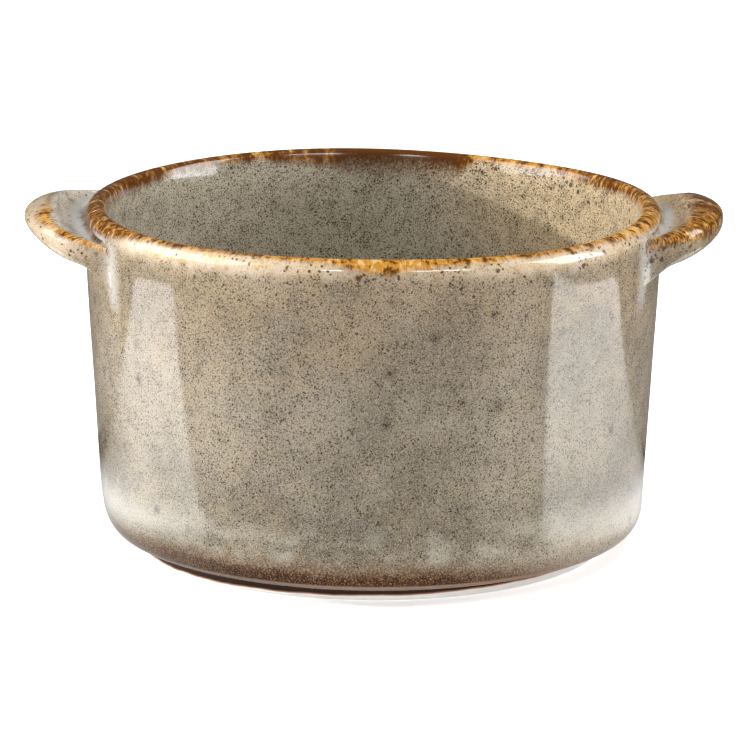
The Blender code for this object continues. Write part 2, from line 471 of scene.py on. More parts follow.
def lug_toes():
    """Azimuths of the lugs' ends on the wall, and their lowest and highest points."""
    toes = []
    for lug in LUGS:
        for end in (lug_offsets(lug)[0], lug_offsets(lug)[-1]):
            points, _, top_seam = lug_section(end, lug)
            toes.append((lug.heading + end / RIM_RADIUS, points[0][1], points[top_seam][1]))
    return toes


def wall_pool(azimuth, height, grooves, toes):
    """How much glaze has pooled at a place on the wall, along the lugs' grooves and at their ends."""
    apart = np.angle(np.exp(1j * (grooves[:, 0] - azimuth))) * RIM_RADIUS
    above = height - grooves[:, 1]
    away = np.hypot(apart, np.where(above > 0, above * GROOVE_SIDE, above))
    pool = float((pooled(away) * grooves[:, 2]).max())
    for toe_azimuth, low, high in toes:
        beside = math.remainder(azimuth - toe_azimuth, 2 * math.pi) * RIM_RADIUS
        past = max(low - height, height - high, 0.0)
        pool = max(pool, toe_pool(math.hypot(beside, past)))
    return pool


def bowl_piece():
    """The bowl, with its rim's crest, its pooled glaze beside the lugs and its broken glaze marked."""
    profile, crest_index = bowl_profile()
    along = lengths_along(profile)
    grooves = lug_grooves()
    toes = lug_toes()
    zones = [rim_zone(2 * math.pi * step / TURN_STEPS) for step in range(TURN_STEPS)]
    rings = []
    for index, (radius, height) in enumerate(profile):
        crest = along[index] - along[crest_index]
        outside = index > crest_index and height > KNEE_HEIGHT
        ring = []
        for step, zone in enumerate(zones):
            azimuth = 2 * math.pi * step / TURN_STEPS
            pool = wall_pool(azimuth, height, grooves, toes) if outside else 0.0
            softness = min(1.0, SHARP_INSIDE / zone.inside)
            thin = min((crest + zone.inside) * softness, zone.outside - crest)
            flow = (RIM_RADIUS * math.cos(azimuth), RIM_RADIUS * math.sin(azimuth), crest * FLOW_SQUEEZE)
            place = settle(azimuth, radius, height)
            ring.append(Spot(place, crest, thin, pool, zone.cream, zone.burn, zone.dots, flow))
        rings.append(ring)
    bowl = skin("bowl_visual", rings, "poles")
    bowl.data.flip_normals()
    return bowl


def lug_piece(lug):
    """One lug, following the uneven wall, with its bead's crest and its pooled valleys marked."""
    marks = lug.marks
    offsets = lug_offsets(lug)
    rings = []
    for offset in offsets:
        points, bead_top, top_seam = lug_section(offset, lug)
        along = lengths_along(points)
        azimuth = lug.heading + offset / RIM_RADIUS
        full = lug_plan(offset, lug)
        toe = toe_pool(offsets[-1] - abs(offset))
        # Pale beige glaze on the lug's side, partly a painted highlight
        cream = marks.cream * smooth(full / HIGHLIT_CREAM_TAPER)
        ring = []
        for index, (distance, height) in enumerate(points):
            place = settle(azimuth, wall_radius(height) + distance, height)
            crest = along[index] - along[bead_top]
            from_groove = abs(along[index] - along[top_seam])
            groove = float(pooled(abs(from_groove - marks.rim_run))) * smooth(full / ROOT_TAPER)
            thin, burn = lug_break(lug, offset, crest, from_groove)
            flow = (offset, lug.seed * RIM_RADIUS, crest * FLOW_SQUEEZE)
            ring.append(Spot(place, crest, thin, max(groove, toe), cream, burn, marks.dots, flow))
        rings.append(ring)
    return skin(lug.node + "_visual", rings, "caps")


def foot_piece():
    """The foot ring, up to the underside of the bowl."""
    inner = FOOT_RADIUS - FOOT_WIDTH
    profile = [(inner, BASE_HEIGHT)]
    profile += line(profile[-1], (FOOT_RADIUS, BASE_HEIGHT), round(FOOT_WIDTH))
    profile += line(profile[-1], (FOOT_RADIUS, FOOT_ROUND), ARC_STEPS)
    profile += arc((FOOT_RADIUS - FOOT_ROUND, FOOT_ROUND), FOOT_ROUND, 0, -90, ARC_STEPS)[1:]
    profile += line(profile[-1], (inner + FOOT_ROUND, 0.0), round(FOOT_WIDTH))
    profile += arc((inner + FOOT_ROUND, FOOT_ROUND), FOOT_ROUND, -90, -180, ARC_STEPS)[1:]
    profile += line(profile[-1], profile[0], ARC_STEPS)[:-1]
    rings = []
    for radius, height in profile:
        ring = []
        for step in range(TURN_STEPS):
            azimuth = 2 * math.pi * step / TURN_STEPS
            place = Vector((radius * math.cos(azimuth), radius * math.sin(azimuth), height)) * MM
            ring.append(Spot(place))
        rings.append(ring)
    foot = skin("foot_ring_visual", rings, "joined")
    foot.data.flip_normals()
    return foot


def display(red, green, blue):
    """Linear colour of a display colour given from 0 to 255."""
    parts = []
    for part in (red, green, blue):
        part /= 255
        parts.append(part / 12.92 if part <= 0.04045 else ((part + 0.055) / 1.055) ** 2.4)
    return tuple(parts)


# Sockets of a Mix node that hold colours
MIX_FIRST = 6
MIX_SECOND = 7
MIX_RESULT = 2

# Round dots in the glaze: their pitch and radius, how soft their edge is, and how strongly they colour
Dots = namedtuple("Dots", "pitch radius softness strength")
DOT_LEAST = 0.5
DOT_RANGE = 0.6


class Graph:
    """Nodes of one material, made by short calls; a value is a number, a colour or a node's output."""

    def __init__(self, name):
        self.material = bpy.data.materials.new(name)
        self.material.use_nodes = True
        self.tree = self.material.node_tree
        self.shader = self.tree.nodes["Principled BSDF"]
        place = self.node("ShaderNodeTexCoord").outputs["Object"]
        scaled = self.node("ShaderNodeVectorMath", operation="SCALE")
        self.feed(scaled.inputs[0], place)
        scaled.inputs["Scale"].default_value = 1 / MM
        self.place = scaled.outputs[0]
        split = self.node("ShaderNodeSeparateXYZ")
        self.feed(split.inputs[0], self.place)
        self.x, self.y, self.height = split.outputs

    def node(self, kind, **settings):
        made = self.tree.nodes.new(kind)
        for key, value in settings.items():
            setattr(made, key, value)
        return made

    def feed(self, socket, value):
        """Links a node's output to a socket, or sets the socket to a number or a colour."""
        if isinstance(value, bpy.types.NodeSocket):
            self.tree.links.new(value, socket)
        elif isinstance(value, tuple) and socket.type == "RGBA":
            socket.default_value = (*value, 1.0)
        else:
            socket.default_value = value

    def math(self, operation, first, second=0.0, third=0.0):
        made = self.node("ShaderNodeMath", operation=operation)
        for socket, value in zip(made.inputs, (first, second, third)):
            self.feed(socket, value)
        return made.outputs[0]

    def add(self, *values):
        total = values[0]
        for value in values[1:]:
            total = self.math("ADD", total, value)
        return total

    def times(self, *values):
        total = values[0]
        for value in values[1:]:
            total = self.math("MULTIPLY", total, value)
        return total

    def ramp(self, share, first, last):
        """Straight change from one number to another, as share goes from 0 to 1."""
        return self.math("MULTIPLY_ADD", share, last - first, first)

    def sway(self, value, reach):
        """Noise moved to lie about 0, and made this wide."""
        return self.times(self.add(value, -0.5), reach)

    def attribute(self, name, vector=False):
        """Value that the mesh keeps at each point."""
        made = self.node("ShaderNodeAttribute", attribute_name=name)
        return made.outputs["Vector" if vector else "Fac"]

    def stretch(self, vector, factors):
        """Vector with each part multiplied by its own factor."""
        made = self.node("ShaderNodeVectorMath", operation="MULTIPLY")
        self.feed(made.inputs[0], vector)
        made.inputs[1].default_value = factors
        return made.outputs[0]

    def noise(self, place, size, detail=2.0, roughness=0.5):
        """Cloudy noise with clouds of this size."""
        made = self.node("ShaderNodeTexNoise")
        self.feed(made.inputs["Vector"], place)
        made.inputs["Scale"].default_value = 1 / size
        made.inputs["Detail"].default_value = detail
        made.inputs["Roughness"].default_value = roughness
        return made.outputs["Fac"]

    def fade(self, value, start, end):
        """Eased step from 0 at start to 1 at end."""
        made = self.node("ShaderNodeMapRange", interpolation_type="SMOOTHSTEP")
        self.feed(made.inputs["Value"], value)
        self.feed(made.inputs["From Min"], start)
        self.feed(made.inputs["From Max"], end)
        return made.outputs["Result"]

    def blend(self, share, first, second):
        """Mix of two colours, which is the second one where share is 1."""
        made = self.node("ShaderNodeMix", data_type="RGBA")
        self.feed(made.inputs[0], share)
        self.feed(made.inputs[MIX_FIRST], first)
        self.feed(made.inputs[MIX_SECOND], second)
        return made.outputs[MIX_RESULT]

    def paint(self, under, over, *shares):
        """Colour with another one laid over it, by the product of the shares."""
        return self.blend(self.times(*shares), under, over)

    def dots(self, kind, share):
        """Scattered round dots of a kind, in this share of the cells."""
        cells = self.node("ShaderNodeTexVoronoi")
        self.feed(cells.inputs["Vector"], self.place)
        cells.inputs["Scale"].default_value = 1 / kind.pitch
        split = self.node("ShaderNodeSeparateColor")
        self.feed(split.inputs[0], cells.outputs["Color"])
        unit = kind.radius / kind.pitch
        size = self.math("MULTIPLY_ADD", split.outputs[1], DOT_RANGE * unit, DOT_LEAST * unit)
        inner = self.times(size, 1 - kind.softness)
        spot = self.fade(cells.outputs["Distance"], size, inner)
        kept = self.math("LESS_THAN", split.outputs[0], share)
        return self.times(spot, kept, kind.strength)


# Glaze colours, as they look on a display under plain light
GLAZE_UPPER = display(155, 136, 109)
GLAZE_MIDDLE = display(148, 138, 122)
GLAZE_LOWER = display(97, 90, 75)
GLAZE_GOLD = display(158, 140, 110)
GLAZE_LILAC = display(142, 131, 122)
GLAZE_SHADE = display(106, 97, 80)
GLAZE_LIGHT = display(168, 156, 134)
GLAZE_INSIDE = display(174, 167, 149)
# Partly a painted pool of light, where the left lamp shines over the rim onto the inner right wall
GLAZE_WARM_AND_LIT = display(208, 181, 140)
SPECK = display(36, 22, 2)
GRAIN = display(218, 203, 178)
SPOT = display(64, 54, 38)
RUST = display(70, 38, 8)
AMBER = display(192, 134, 48)
BROWN = display(92, 52, 15)
DARK = display(62, 36, 15)
UMBER = display(142, 98, 50)
HONEY = display(214, 180, 120)
# Partly a painted highlight where the lamps shine on the rim's round and the lugs' sides
CREAM_AND_HIGHLIGHT = display(214, 194, 170)
POOL = display(194, 194, 189)
# Partly a painted reflection of the bright table low on the wall
MILK_AND_REFLECTION = display(178, 172, 158)
# Partly painted light bounced up from the table onto the pale lower bend
PALE_LIT_KNEE = display(206, 190, 168)
TOAST = display(112, 74, 42)
CHAR = display(46, 25, 8)
LIP_LINE = display(126, 103, 84)
CLAY = display(240, 238, 234)
CLAY_SHADE = display(226, 220, 212)
ORANGE = display(160, 104, 64)
# Burnt glaze end on the foot, darkened partly as a painted shadow under the base edge
BURNT_AND_SHADOWED = display(46, 26, 14)

# In the glaze's values below, a pair gives the places, or the levels of a noise, between which something
# fades in, and a share says how strongly it shows

# Ground of the glaze
BAND_CLOUD = 12.0
BAND_SWAY = 30.0
LOW_BAND = (8.0, 30.0)
HIGH_BAND = (34.0, 56.0)
# Warmer, lighter inner right wall: partly warmer glaze, partly a painted pool of light from the left lamp
WARM_LIT_LEAN = 0.6
WARM_LIT_BAND = (34.0, 66.0)
WARM_LIT_SHARE = 0.8
Tint = namedtuple("Tint", "cloud start full share colour")
TINTS = (
    Tint(5.0, 0.46, 0.74, 0.35, GLAZE_GOLD),
    Tint(5.0, 0.52, 0.26, 0.35, GLAZE_LILAC),
    Tint(15.0, 0.45, 0.66, 0.5, GLAZE_SHADE),
    Tint(15.0, 0.50, 0.30, 0.4, GLAZE_LIGHT),
)
DARK_MOTTLE = (0.40, 0.75)
DARK_MOTTLE_SHARE = 0.35


def ground_colour(g, inner_colour):
    """Greige ground, beige near the rim, olive-grey low down, cloudy outside, warmer and lighter inside at
    the right, partly a painted pool of light.
    """
    zone = g.add(g.height, g.sway(g.noise(g.place, BAND_CLOUD, detail=3.0), BAND_SWAY))
    outer = g.blend(g.fade(zone, *LOW_BAND), GLAZE_LOWER, GLAZE_MIDDLE)
    outer = g.blend(g.fade(zone, *HIGH_BAND), outer, GLAZE_UPPER)
    # Inner right wall: warmer glaze plus a painted pool of light from the left lamp
    warm_lit_side = g.fade(g.add(g.x, g.times(g.height, WARM_LIT_LEAN)), *WARM_LIT_BAND)
    inner = g.paint(inner_colour, GLAZE_WARM_AND_LIT, warm_lit_side, WARM_LIT_SHARE)
    ground = g.blend(g.outside, inner, outer)
    for tint in TINTS:
        level = g.fade(g.noise(g.place, tint.cloud), tint.start, tint.full)
        ground = g.paint(ground, tint.colour, level, tint.share, g.outside)
    return g.paint(ground, GLAZE_SHADE, g.fade(g.mottle, *DARK_MOTTLE), DARK_MOTTLE_SHARE)


# Milky runs low on the wall, fuller at the sides and partly a painted reflection of the bright table, and
# the pale lower bend at the right, partly painted light bounced up from the table
RUN_STRETCH = (1.0, 1.0, 1.4)
RUN_CLOUD = 6.0
RUN_HEIGHT = 10.8
RUN_SWAY = 4.0
RUN_REACH = (6.0, 0.0)
RUN_MIDDLE = -4.0
RUN_SIDES = (16.0, 38.0)
RUN_PATCHES = (0.44, 0.70)
SIDE_PATCHES = 0.3
REFLECTED_MILK_MIDDLE = 0.5
REFLECTED_MILK_SIDES = 0.6
PALE_LIT_KNEE_BAND = (13.0, 6.5)
PALE_LIT_KNEE_SIDE = (16.0, 40.0)
PALE_LIT_KNEE_SHARE = 0.45

# Pale beige glaze below the rim's crest, partly a painted highlight, streaked with honey, and pools
HIGHLIT_CREAM_START = (0.2, 1.2)
HIGHLIT_CREAM_END = (7.0, 4.2)
HIGHLIT_CREAM_SWAY = 2.6
HONEY_SWAY = 0.6
HONEY_STREAKS = (0.48, 0.66)
HONEY_SHARE = 0.8
POOL_SHARE = 0.85


def pale_glaze(g, colour):
    """Milky runs low on the wall (partly a painted reflection), a pale lower bend at the right (partly
    painted bounce light), pale beige glaze beside the broken rim (partly a painted highlight) and pale pools
    beside the lugs.
    """
    cloud = g.noise(g.stretch(g.place, RUN_STRETCH), RUN_CLOUD, detail=1.0)
    run = g.math("ABSOLUTE", g.add(g.height, g.sway(cloud, RUN_SWAY), -RUN_HEIGHT))
    sides = g.fade(g.math("ABSOLUTE", g.add(g.x, -RUN_MIDDLE)), *RUN_SIDES)
    patches = g.fade(g.add(cloud, g.times(sides, SIDE_PATCHES)), *RUN_PATCHES)
    # Milky runs, fuller at the sides, partly a painted reflection of the bright table
    milky_and_reflected = g.times(g.fade(run, *RUN_REACH), patches, g.ramp(sides, REFLECTED_MILK_MIDDLE, REFLECTED_MILK_SIDES), g.outside)
    colour = g.blend(milky_and_reflected, colour, MILK_AND_REFLECTION)
    # Pale lower bend at the right, partly painted light bounced up from the table
    pale_lit_knee = g.times(g.fade(g.height, *PALE_LIT_KNEE_BAND), g.fade(g.x, *PALE_LIT_KNEE_SIDE), g.outside)
    colour = g.paint(colour, PALE_LIT_KNEE, pale_lit_knee, PALE_LIT_KNEE_SHARE)
    # Pale beige glaze beside the crest, partly a painted highlight from the lamps
    highlit_cream_end = g.fade(g.add(g.crest, g.times(g.mottle, HIGHLIT_CREAM_SWAY)), *HIGHLIT_CREAM_END)
    creamy_and_highlit = g.times(g.cream, g.fade(g.crest, *HIGHLIT_CREAM_START), highlit_cream_end)
    honeyed = g.fade(g.add(g.streak, g.sway(g.mottle, HONEY_SWAY)), *HONEY_STREAKS)
    colour = g.blend(creamy_and_highlit, colour, g.paint(CREAM_AND_HIGHLIGHT, HONEY, honeyed, HONEY_SHARE))
    g.paleness = g.math("MAXIMUM", g.math("MAXIMUM", creamy_and_highlit, g.pool), milky_and_reflected)
    return g.paint(colour, POOL, g.pool, POOL_SHARE)


# Grain and dots in the glaze; specks are thicker where the mottle is high and sparse where the glaze is pale
FINE_SPECKS = Dots(0.36, 0.16, 0.3, 0.85)
LARGE_SPECKS = Dots(0.56, 0.19, 0.25, 0.85)
BLACK_DOTS = Dots(2.2, 0.24, 0.5, 0.9)
SOFT_SPOTS = Dots(5.4, 1.5, 0.85, 0.55)
SPOT_CORES = Dots(5.4, 0.5, 0.7, 0.8)
FINE_CHANCE = (0.0, 0.85)
LARGE_CHANCE = (0.20, 0.95)
SPOT_CHANCE = 0.6
PALE_COVER = 0.3
GRAIN_SIZE = 0.18
OUTER_GRAIN = 0.65
PALE_GRAIN = (0.52, 0.25)
PALE_GRAIN_SHARE = 0.44
DARK_GRAIN = (0.50, 0.75)
DARK_GRAIN_SHARE = 0.80


def speckled(g, colour, speck_cover):
    """Fine grain and dark specks all over, black dots and a few soft grey spots."""
    cover = g.times(g.ramp(g.paleness, 1.0, PALE_COVER), speck_cover)
    colour = g.paint(colour, SPOT, g.dots(SOFT_SPOTS, SPOT_CHANCE))
    colour = g.paint(colour, SPECK, g.dots(SPOT_CORES, SPOT_CHANCE), cover)
    grain = g.noise(g.place, GRAIN_SIZE, detail=0.0)
    grainy = g.times(g.ramp(g.outside, 1.0, OUTER_GRAIN), cover)
    colour = g.paint(colour, GRAIN, g.fade(grain, *PALE_GRAIN), PALE_GRAIN_SHARE, grainy)
    colour = g.paint(colour, SPECK, g.fade(grain, *DARK_GRAIN), DARK_GRAIN_SHARE, grainy)
    fine_share = g.fade(g.mottle, *FINE_CHANCE)
    large_share = g.fade(g.mottle, *LARGE_CHANCE)
    for kind, share in ((FINE_SPECKS, fine_share), (LARGE_SPECKS, large_share), (BLACK_DOTS, 1.0)):
        colour = g.paint(colour, SPECK, g.dots(kind, share), cover)
    return colour


# Clusters of brown dots on both sides of the rim's and the beads' crests
SMALL_RUST = Dots(0.7, 0.34, 0.5, 0.9)
LARGE_RUST = Dots(1.5, 0.68, 0.6, 0.9)
SMALL_RUST_CHANCE = 1.5
LARGE_RUST_CHANCE = 1.3
RUST_START = (0.8, 1.8)
RUST_END = (11.0, 4.0)
RUST_SWAY = 6.0
CLUSTER_SIZE = 4.0
CLUSTERS = (0.40, 0.62)


def rusty(g, colour):
    """Round brown dots, in clusters near the rim."""
    from_crest = g.math("ABSOLUTE", g.crest)
    rust_end = g.fade(g.add(from_crest, g.times(g.mottle, RUST_SWAY)), *RUST_END)
    clusters = g.fade(g.noise(g.place, CLUSTER_SIZE), *CLUSTERS)
    chance = g.times(g.fade(from_crest, *RUST_START), rust_end, clusters, g.dots_near)
    small = g.dots(SMALL_RUST, g.times(chance, SMALL_RUST_CHANCE))
    large = g.dots(LARGE_RUST, g.times(chance, LARGE_RUST_CHANCE))
    return g.blend(g.math("MAXIMUM", small, large), colour, RUST)


# Toasted band above the foot, weaker at both sides and lower at the right, and the base's edge
TOAST_BAND = (9.4, 4.6)
TOAST_SWAY = 3.0
TOAST_FRAY = 2.0
TOAST_SHARE = 0.7
TOAST_LEFT = (-22.0, -46.0)
TOAST_RIGHT = (6.0, 40.0)
LEFT_LIFT = 0.4
RIGHT_DROP = 2.8
LEFT_STRENGTH = 0.7
WEAK_SIDE = (40.0, 8.0)
WEAK_STRENGTH = 0.5
CHAR_SIZE = 0.26
CHAR_GAIN = 0.24
CHAR_GRAINS = (0.60, 0.70)
BASE_EDGE = (4.0, 3.6)


def toasted(g, colour):
    """Brown grainy band above the foot, and the thin line of glaze at the base's edge."""
    left = g.fade(g.x, *TOAST_LEFT)
    right = g.fade(g.x, *TOAST_RIGHT)
    toast_line = g.add(g.height, g.sway(g.mottle, TOAST_SWAY), g.sway(g.grain, TOAST_FRAY))
    toast_line = g.add(toast_line, g.times(left, -LEFT_LIFT), g.times(right, RIGHT_DROP))
    strength = g.ramp(g.fade(g.x, *WEAK_SIDE), WEAK_STRENGTH, 1.0)
    level = g.times(g.fade(toast_line, *TOAST_BAND), strength, g.ramp(left, 1.0, LEFT_STRENGTH), g.outside)
    grains = g.fade(g.add(g.noise(g.place, CHAR_SIZE, detail=1.0), g.times(level, CHAR_GAIN)), *CHAR_GRAINS)
    colour = g.paint(colour, TOAST, level, TOAST_SHARE)
    colour = g.paint(colour, CHAR, grains, level)
    base_edge = g.times(g.fade(g.height, *BASE_EDGE), g.outside)
    return g.blend(base_edge, colour, g.blend(right, LIP_LINE, ORANGE))


# Broken glaze: its frayed edge and streaks, which are longer at the sides and weaker where it is burnt
BLOTCH_SIZE = 2.6
FLECK_SIZE = 0.9
SIDE_STREAKS = (26.0, 44.0)
EDGE_COMB = (0.8, 2.2)
EDGE_BLOTCH = 1.8
STREAK_TONE = (0.7, 1.8)
BLOTCH_TONE = 1.2
FLECK_TONE = 1.1
BURNT_ZONE = (0.72, 0.84)
BURNT_GRAIN = 2.0
BURNT_FRAY = 0.3
BURNT_PATCHES = 0.4
BREAK_START = -0.7
BREAK_FULL = 0.8
BURNT_FULL = 1.8
UMBER_ZONE = (0.52, 0.72)
AMBER_TONE = (0.20, 0.42)
BROWN_TONE = (0.48, 0.74)
DARK_INSIDE = (-0.4, -2.0)
DARK_SHARE = 0.4
WORN_PLACE = 0.6
WORN_WIDTH = (1.0, 0.2)
WORN_SHARE = 0.75


def broken_glaze(g):
    """Where the glaze has run thin over an edge, and its streaked colour there, from cream to brown."""
    blotch = g.noise(g.flow, BLOTCH_SIZE)
    fleck = g.noise(g.place, FLECK_SIZE)
    sides = g.fade(g.math("ABSOLUTE", g.x), *SIDE_STREAKS)
    burnt = g.fade(g.burn, *BURNT_ZONE)
    fray = g.add(g.sway(g.streak, g.ramp(sides, *EDGE_COMB)), g.sway(blotch, EDGE_BLOTCH))
    fray = g.times(fray, g.ramp(burnt, 1.0, BURNT_FRAY))
    grainy = g.times(g.sway(g.grain, BURNT_GRAIN), burnt)
    broken = g.fade(g.add(g.thin, fray, grainy), BREAK_START, g.ramp(burnt, BREAK_FULL, BURNT_FULL))
    streaks = g.sway(g.streak, g.ramp(sides, *STREAK_TONE))
    patches = g.add(streaks, g.sway(blotch, BLOTCH_TONE), g.sway(fleck, FLECK_TONE))
    tone = g.add(g.burn, g.times(patches, g.ramp(burnt, 1.0, BURNT_PATCHES)))
    amber = g.blend(g.fade(g.burn, *UMBER_ZONE), AMBER, UMBER)
    colour = g.blend(g.fade(tone, *AMBER_TONE), HONEY, amber)
    colour = g.blend(g.fade(tone, *BROWN_TONE), colour, BROWN)
    colour = g.paint(colour, DARK, g.fade(g.crest, *DARK_INSIDE), burnt, DARK_SHARE)
    from_worn = g.math("ABSOLUTE", g.add(g.crest, -WORN_PLACE))
    return broken, g.paint(colour, AMBER, g.fade(from_worn, *WORN_WIDTH), burnt, WORN_SHARE)


# Surface of the glaze
MOTTLE_SIZE = 2.6
FRAY_GRAIN = 0.5
STREAK_SIZE = 0.22
STREAK_ROUGHNESS = 0.6
OUTER_SIDE = (-0.6, 0.8)
GLAZE_ROUGHNESS = 0.07
BREAK_ROUGHNESS = 0.14
BUMP_STRENGTH = 0.12
BUMP_HEIGHT = 0.1
MOTTLE_BUMP = 0.5
STREAK_BUMP = 0.4


def glaze(name, inner_colour, speck_cover):
    """Glossy speckled glaze that breaks amber and brown over edges, pools pale grey and runs milky."""
    g = Graph(name)
    g.crest = g.attribute("crest")
    g.thin = g.attribute("thin")
    g.pool = g.attribute("pool")
    g.cream = g.attribute("cream")
    g.burn = g.attribute("burn")
    g.dots_near = g.attribute("dots")
    g.flow = g.attribute("flow", vector=True)
    g.mottle = g.noise(g.place, MOTTLE_SIZE, detail=3.0)
    g.grain = g.noise(g.place, FRAY_GRAIN)
    g.streak = g.noise(g.flow, STREAK_SIZE, roughness=STREAK_ROUGHNESS)
    g.outside = g.fade(g.crest, *OUTER_SIDE)

    colour = pale_glaze(g, ground_colour(g, inner_colour))
    colour = toasted(g, rusty(g, speckled(g, colour, speck_cover)))
    broken, broken_colour = broken_glaze(g)
    g.feed(g.shader.inputs["Base Color"], g.blend(broken, colour, broken_colour))

    rough = g.add(GLAZE_ROUGHNESS, g.times(broken, BREAK_ROUGHNESS - GLAZE_ROUGHNESS))
    g.feed(g.shader.inputs["Roughness"], rough)
    bump = g.node("ShaderNodeBump")
    bump.inputs["Strength"].default_value = BUMP_STRENGTH
    bump.inputs["Distance"].default_value = BUMP_HEIGHT * MM
    relief = g.add(g.times(g.mottle, MOTTLE_BUMP), g.times(g.streak, broken, STREAK_BUMP))
    g.feed(bump.inputs["Height"], relief)
    g.feed(g.shader.inputs["Normal"], bump.outputs[0])
    return g.material


# Bare clay of the foot, and the end of the glaze above it, which is higher at the right and darkened partly
# as a painted shadow under the bowl's base edge
CLAY_GRAIN = 0.5
CLAY_GRAIN_SHARE = 0.4
END_CLOUD = 6.0
END_HEIGHT = 0.9
END_LEAN = 0.0115
END_SWAY = 0.5
ORANGE_EDGE = (-0.15, 0.05)
BURNT_SHADOWED_EDGE = (0.05, 0.25)
GLOSS_EDGE = (0.0, 0.3)
CLAY_ROUGHNESS = 0.75
END_ROUGHNESS = 0.25


def clay(name):
    """Bare pale clay, with the burnt end of the glaze above it, darkened partly as a painted shadow under
    the base edge.
    """
    g = Graph(name)
    grain = g.noise(g.place, CLAY_GRAIN, detail=3.0)
    uneven = g.noise(g.place, END_CLOUD)
    limit = g.add(END_HEIGHT, g.times(g.x, END_LEAN), g.sway(uneven, END_SWAY))
    above = g.math("SUBTRACT", g.height, limit)
    colour = g.paint(CLAY, CLAY_SHADE, grain, CLAY_GRAIN_SHARE)
    colour = g.blend(g.fade(above, *ORANGE_EDGE), colour, ORANGE)
    # Burnt end of the glaze, partly a painted shadow under the bowl's base edge
    colour = g.blend(g.fade(above, *BURNT_SHADOWED_EDGE), colour, BURNT_AND_SHADOWED)
    g.feed(g.shader.inputs["Base Color"], colour)
    g.feed(g.shader.inputs["Roughness"], g.ramp(g.fade(above, *GLOSS_EDGE), CLAY_ROUGHNESS, END_ROUGHNESS))
    return g.material


def dress(piece, node, material):
    """Gives a piece its finish and its place on the part."""
    piece.data.materials.append(material)
    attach(piece, "root")
    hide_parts(node)


# How much of the speckle the bowl and the lugs show
BOWL_SPECKS = 1.0
LUG_SPECKS = 0.6


def add_pieces():
    """The bowl, the foot and the lugs, each in place of its node."""
    dress(bowl_piece(), "bowl", glaze("bowl_glaze", GLAZE_INSIDE, BOWL_SPECKS))
    dress(foot_piece(), "foot_ring", clay("bare_clay"))
    for lug in LUGS:
        finish = lug.node + "_glaze"
        dress(lug_piece(lug), lug.node, glaze(finish, display(*lug.dish), LUG_SPECKS))


# Camera, fitted to the photographed rim and wall
CAMERA_DISTANCE = 1000.0
CAMERA_SIDE = 0.43
CAMERA_HEIGHT = 266.9
CAMERA_PITCH = math.radians(13.35)
CAMERA_AZIMUTH = 0.042
CAMERA_ROLL = 0.0049
LENS = 283.2


def add_camera():
    """Camera at the photograph's viewing angle."""
    data = bpy.data.cameras.new("camera")
    data.lens = LENS
    camera = add_object("camera", data)
    swing = Matrix.Rotation(-CAMERA_AZIMUTH, 4, "Z")
    place = Matrix.Translation(Vector((CAMERA_SIDE, -CAMERA_DISTANCE, CAMERA_HEIGHT)) * MM)
    tilt = Matrix.Rotation(math.pi / 2 - CAMERA_PITCH, 4, "X")
    camera.matrix_world = swing @ place @ tilt @ Matrix.Rotation(CAMERA_ROLL, 4, "Z")
    bpy.context.scene.camera = camera


# Stage: white levels that show in the pot's gloss, colours of the dull flags, and how far the sheets reach
WHITE = (1.0, 1.0, 1.0, 1.0)
BLACK = (0.0, 0.0, 0.0, 1.0)
FLOOR_COLOUR = (0.9, 0.9, 0.9)
FLOOR_LIFT = 0.58
AMBIENT = 0.28
TABLE_LEVEL = 0.55
FLAG_LEVEL = 0.12
FLAG_GREY = display(92, 87, 82)
FLAG_DARK = display(70, 70, 70)
STAGE_SIDE = 4000
FLAG_FRONT = -1500
FLAG_BACK = 900
FLAG_TOP = 2500
TABLE_SIDE = 600
TABLE_FRONT = -1400
TABLE_EDGE = 44
TABLE_BACK = 800

# Heights of the sheets that lie over the floor
TABLE_HEIGHT = 0.2
TABLE_FLAG_HEIGHT = 0.3
FOOT_SHADE_HEIGHT = 0.4
GLOW_HEIGHT = 0.6


def level_sheet(side, front, back, height):
    """Corners of a level sheet."""
    return [(-side, front, height), (side, front, height), (side, back, height), (-side, back, height)]


def upright_sheet(side, place, height):
    """Corners of an upright sheet that stands on the floor, square to the view."""
    return [(-side, place, 0), (side, place, 0), (side, place, height), (-side, place, height)]


def add_sheet(name, corners, material):
    """Flat stage sheet through its corners."""
    mesh = bpy.data.meshes.new(name)
    mesh.from_pydata([Vector(corner) * MM for corner in corners], [], [range(len(corners))])
    mesh.materials.append(material)
    sheet = add_object(name, mesh)
    return sheet


def add_flag(name, corners, material):
    """Stage sheet that only shows in the pot's gloss."""
    flag = add_sheet(name, corners, material)
    flag.visible_camera = False
    flag.visible_diffuse = False
    flag.visible_shadow = False


def seen_directly(tree):
    """1 for camera, glossy and transmission rays, and 0 for the rest."""
    path = tree.nodes.new("ShaderNodeLightPath")
    total = path.outputs["Is Camera Ray"]
    for output in ("Is Glossy Ray", "Is Transmission Ray"):
        most = tree.nodes.new("ShaderNodeMath")
        most.operation = "MAXIMUM"
        tree.links.new(total, most.inputs[0])
        tree.links.new(path.outputs[output], most.inputs[1])
        total = most.outputs[0]
    return total


def dull(name, colour):
    """Graph of a matt material of one colour."""
    g = Graph(name)
    g.shader.inputs["Base Color"].default_value = (*colour, 1.0)
    g.shader.inputs["Roughness"].default_value = 1.0
    return g


def white_floor():
    """Matt white that keeps the pot's shadow and is lifted where it is seen."""
    g = dull("white_floor", FLOOR_COLOUR)
    g.shader.inputs["Specular IOR Level"].default_value = 0.0
    g.shader.inputs["Emission Color"].default_value = WHITE
    g.feed(g.shader.inputs["Emission Strength"], g.times(seen_directly(g.tree), FLOOR_LIFT))
    return g.material


